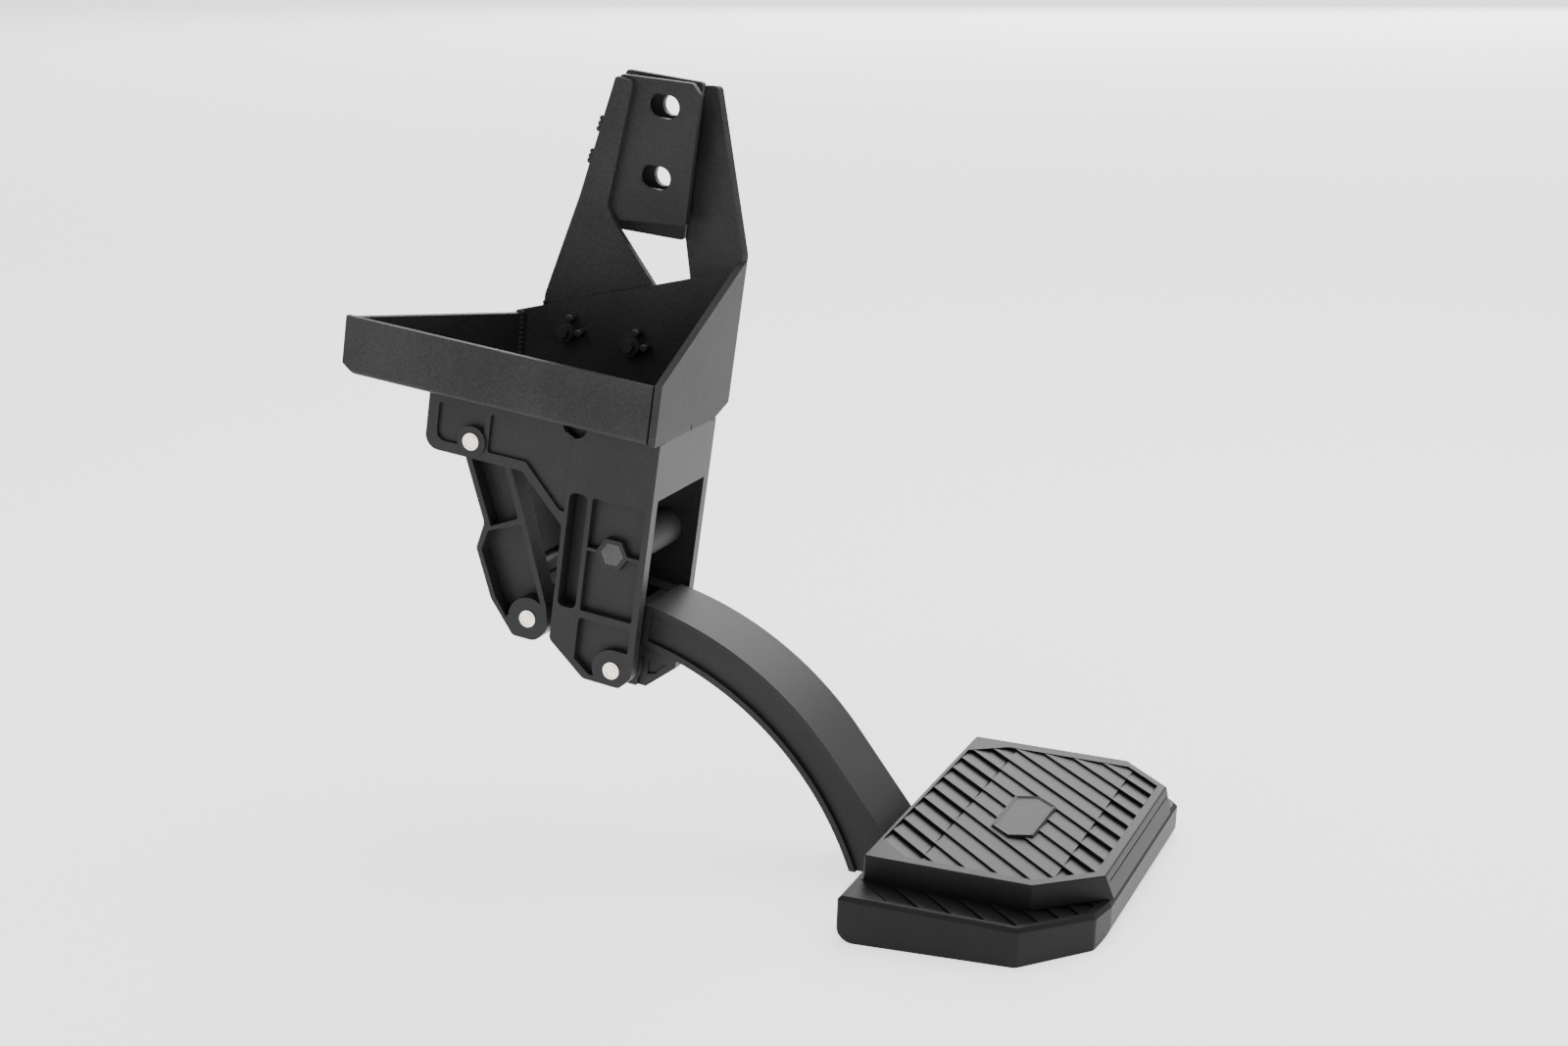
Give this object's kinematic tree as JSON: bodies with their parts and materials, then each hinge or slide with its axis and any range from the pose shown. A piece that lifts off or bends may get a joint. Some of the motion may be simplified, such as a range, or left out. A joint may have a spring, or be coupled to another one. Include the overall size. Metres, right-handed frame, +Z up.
{
  "type": "folding tailgate step",
  "caption": "Frame-mounted fold-up tailgate step: bolt-on bracket, cast hinge housing with strut linkage, curved arm and grooved tread pad.",
  "frame": {"origin": "middle of the two round frame-bolt holes, on the front face of the rear clamp plate", "axes": "+X outward along the folded-out step, +Y along the frame bolts, away from the ringed pin ends' near side, +Z up"},
  "size_m": [0.6936, 0.332, 0.571],
  "materials": {
    "sheet_steel": "satin black powder coat, fine grain",
    "cast_black": "satin black coated casting",
    "arm_steel": "smooth satin black paint",
    "pin_steel": "machined, pale nickel tint",
    "black_hardware": "black oxide fasteners",
    "stop_rubber": "matt rubber",
    "bush_plastic": "dark bearing plastic",
    "pad_plastic": "moulded, finely textured"
  },
  "bodies": {
    "bracket": {"housing": "cast_black", "bracket_tray": "sheet_steel", "bracket_slant_wall": "sheet_steel", "bracket_gusset": "sheet_steel", "bracket_side_plate": "sheet_steel", "tower_plate": "sheet_steel", "clamp_plate_slotted": "sheet_steel", "clamp_plate_rear": "sheet_steel", "clamp_spacer": "sheet_steel", "gusset_bolts": "black_hardware", "gusset_nuts": "black_hardware", "gusset_studs": "black_hardware", "bracket_bolts": "black_hardware", "bracket_nuts": "black_hardware", "bracket_washers": "black_hardware", "stop_bar_bolt": "black_hardware", "stop_bar_nut": "black_hardware", "stop_bar_tube": "black_hardware", "stop_bar_rubber": "stop_rubber", "upper_pin": "pin_steel", "upper_pin_washers": "black_hardware", "hinge_pin": "pin_steel", "hinge_pin_washers": "black_hardware", "hinge_pin_spacers": "black_hardware"},
    "arm": {"arm_beam": "arm_steel", "knuckle": "cast_black", "hinge_bushes": "bush_plastic", "arm_end_plate": "arm_steel", "step_tongue": "arm_steel", "tongue_bolts": "black_hardware", "step_base": "pad_plastic", "step_tread": "pad_plastic", "tread_screws": "black_hardware"},
    "strut": {"strut_link": "cast_black", "upper_pin_bushes": "bush_plastic", "strut_pin": "pin_steel", "strut_pin_spacers": "black_hardware"},
    "drag": {"drag_link_near": "arm_steel", "drag_link_far": "arm_steel", "drag_link_bushes": "bush_plastic", "link_pin": "pin_steel", "link_pin_sleeve": "black_hardware", "link_pin_washers": "black_hardware"}
  },
  "joints": [
    {"name": "arm_fold", "type": "hinge", "parent": "bracket", "child": "arm", "pos_m": [0.073, -0.101, -0.399], "axis": [0, -1, 0], "range_deg": [0, 50]},
    {"name": "strut_swing", "type": "hinge", "parent": "bracket", "child": "strut", "pos_m": [-0.0703, -0.101, -0.2405], "axis": [0, -1, 0], "range_deg": [-8.4, 0]},
    {"name": "drag_swing", "type": "hinge", "parent": "strut", "child": "drag", "pos_m": [-0.0102, -0.101, -0.3796], "axis": [0, -1, 0], "range_deg": [0, 8]}
  ],
  "couplings": [
    {"joint": "strut_swing", "follows": "arm_fold", "ratio": -0.1645},
    {"joint": "drag_swing", "follows": "arm_fold", "ratio": 0.1562}
  ]
}
